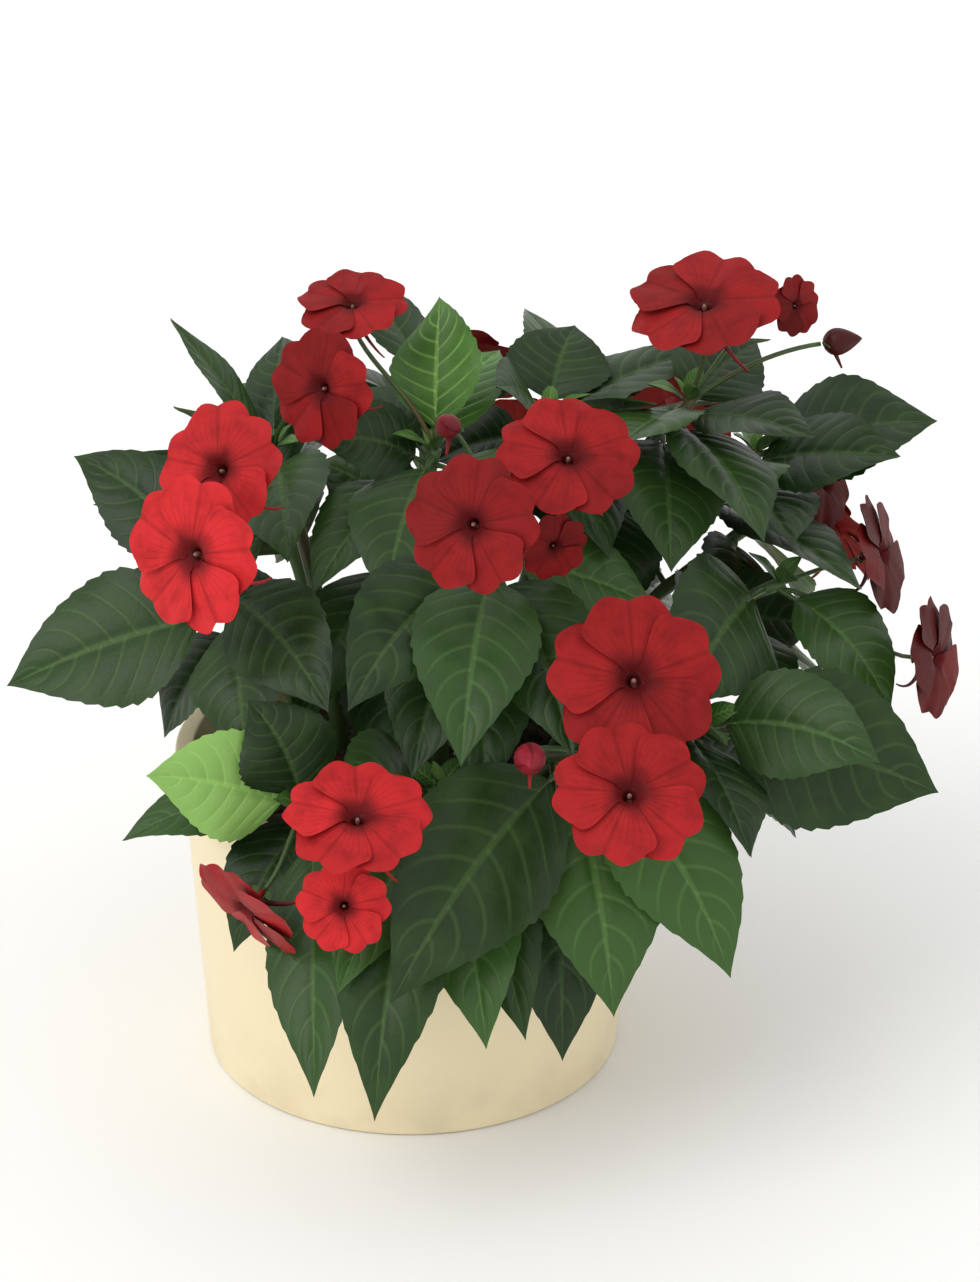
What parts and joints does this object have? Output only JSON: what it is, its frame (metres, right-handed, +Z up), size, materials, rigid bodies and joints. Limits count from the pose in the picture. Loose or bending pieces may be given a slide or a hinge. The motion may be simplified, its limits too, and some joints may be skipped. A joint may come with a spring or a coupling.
{
  "type": "potted busy lizzie",
  "caption": "Bushy busy lizzie in a plain round pot: leafy shoots with pointed dark green leaves, flat five-petalled red blooms with thin spurs, and a few buds.",
  "frame": {"origin": "middle of the pot's flat underside", "axes": "+Z up, -Y towards the front of the plant, +X to its right"},
  "size_m": [0.2837, 0.2689, 0.2462],
  "materials": {
    "pot": "satin",
    "soil": "matte",
    "leaf": "satin",
    "petal": "matte",
    "bud": "matte"
  },
  "bodies": {
    "root": {"bloom_back_left": "petal", "bloom_back_low": "petal", "bloom_back_right": "petal", "bloom_back_top": "petal", "bloom_centre_left": "petal", "bloom_centre_low": "petal", "bloom_centre_top": "petal", "bloom_far_right": "petal", "bloom_front_left_high": "petal", "bloom_front_left_low": "petal", "bloom_front_left_side": "petal", "bloom_left_high": "petal", "bloom_left_low": "petal", "bloom_main": "petal", "bloom_main_low": "petal", "bloom_rear_right": "petal", "bloom_right_hidden": "petal", "bloom_right_high": "petal", "bloom_top_left": "petal", "bloom_top_left_side": "petal", "bloom_top_right": "petal", "bloom_top_right_small": "petal", "bud_back": "bud", "bud_centre": "bud", "bud_front": "bud", "bud_top_right": "bud", "leafy_stem_back": "leaf", "leafy_stem_back_left": "leaf", "leafy_stem_back_right": "leaf", "leafy_stem_centre": "leaf", "leafy_stem_front": "leaf", "leafy_stem_front_left": "leaf", "leafy_stem_front_right": "leaf", "leafy_stem_left": "leaf", "leafy_stem_lower_right": "leaf", "leafy_stem_rear_right": "leaf", "leafy_stem_right": "leaf", "leafy_stem_top": "leaf", "leafy_stem_top_left": "leaf", "leafy_stem_top_right": "leaf", "leafy_stem_upper_left": "leaf", "leafy_stem_upper_right": "leaf", "pot": "pot", "soil": "soil"}
  },
  "joints": []
}
